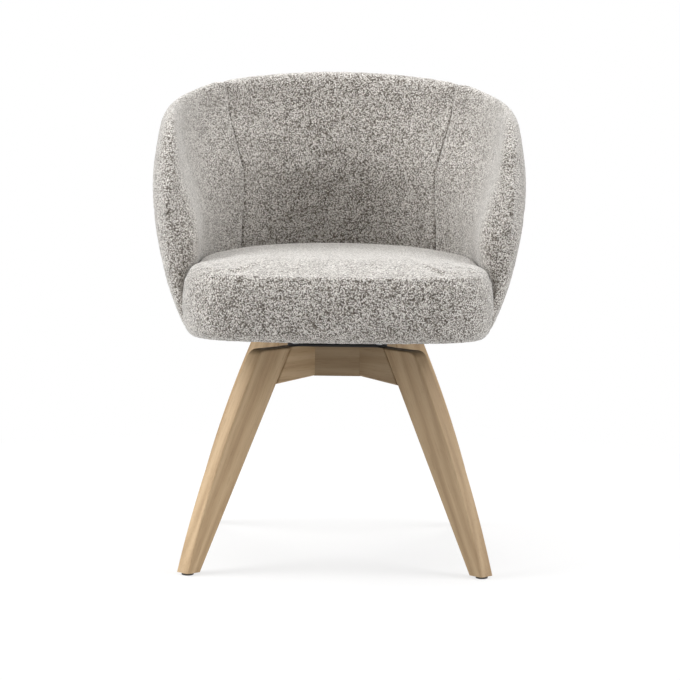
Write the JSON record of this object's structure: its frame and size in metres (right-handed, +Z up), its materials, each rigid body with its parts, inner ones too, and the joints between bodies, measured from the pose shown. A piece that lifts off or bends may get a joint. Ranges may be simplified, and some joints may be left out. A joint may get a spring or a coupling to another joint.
{
  "type": "swivel armchair",
  "caption": "Upholstered tub armchair in speckled boucle, on a splayed wooden base whose swivel plate lets the seat turn half a circle",
  "frame": {"origin": "on the floor, under the swivel axis and the middle of the chair", "axes": "+Z up, +X to the viewer's right, -Y is the way the seat faces at rest"},
  "size_m": [0.596, 0.6002, 0.775],
  "materials": {
    "oiled_oak": "pale oiled oak boards with visible grain",
    "beech_dowel": "plain beech",
    "plywood": "plain plywood",
    "glide_plastic": "black moulded plastic",
    "black_steel": "black powder coat",
    "zinc_steel": "zinc plated",
    "nylon": "natural nylon",
    "boucle": "off-white boucle speckled with grey and taupe",
    "dust_cloth": "black woven dust cloth"
  },
  "bodies": {
    "base": {"leg_front_left": "oiled_oak", "leg_front_right": "oiled_oak", "leg_rear_left": "oiled_oak", "leg_rear_right": "oiled_oak", "rail_front_left": "oiled_oak", "rail_front_right": "oiled_oak", "rail_rear_left": "oiled_oak", "rail_rear_right": "oiled_oak", "hub_block": "oiled_oak", "dowels": "beech_dowel", "glide_front_left": "glide_plastic", "glide_front_right": "glide_plastic", "glide_rear_left": "glide_plastic", "glide_rear_right": "glide_plastic", "swivel_lower_plate": "black_steel", "plate_screws": "zinc_steel", "pivot_bush": "nylon"},
    "ball_ring": {"ball_cage": "nylon", "bearing_balls": "zinc_steel"},
    "seat": {"swivel_upper_plate": "black_steel", "stop_pin": "zinc_steel", "pivot_bolt": "zinc_steel", "pivot_washer": "zinc_steel", "pivot_nut": "zinc_steel", "seat_bolts": "zinc_steel", "tee_nuts": "zinc_steel", "seat_board": "plywood", "seat_cushion": "boucle", "dust_cover": "dust_cloth", "back_shell": "plywood", "shell_screws": "zinc_steel", "back_pad": "boucle", "arm_pad_left": "boucle", "arm_pad_right": "boucle", "outer_back": "boucle", "outer_left": "boucle", "outer_right": "boucle"}
  },
  "joints": [
    {"name": "seat_swivel", "type": "hinge", "parent": "base", "child": "seat", "pos_m": [0, 0, 0.3585], "axis": [0, 0, 1], "range_deg": [-90, 90]},
    {"name": "ball_ring_turn", "type": "hinge", "parent": "base", "child": "ball_ring", "pos_m": [0, 0, 0.3585], "axis": [0, 0, 1], "range_deg": [-45, 45]}
  ],
  "couplings": [
    {"joint": "ball_ring_turn", "follows": "seat_swivel", "ratio": 0.5}
  ]
}
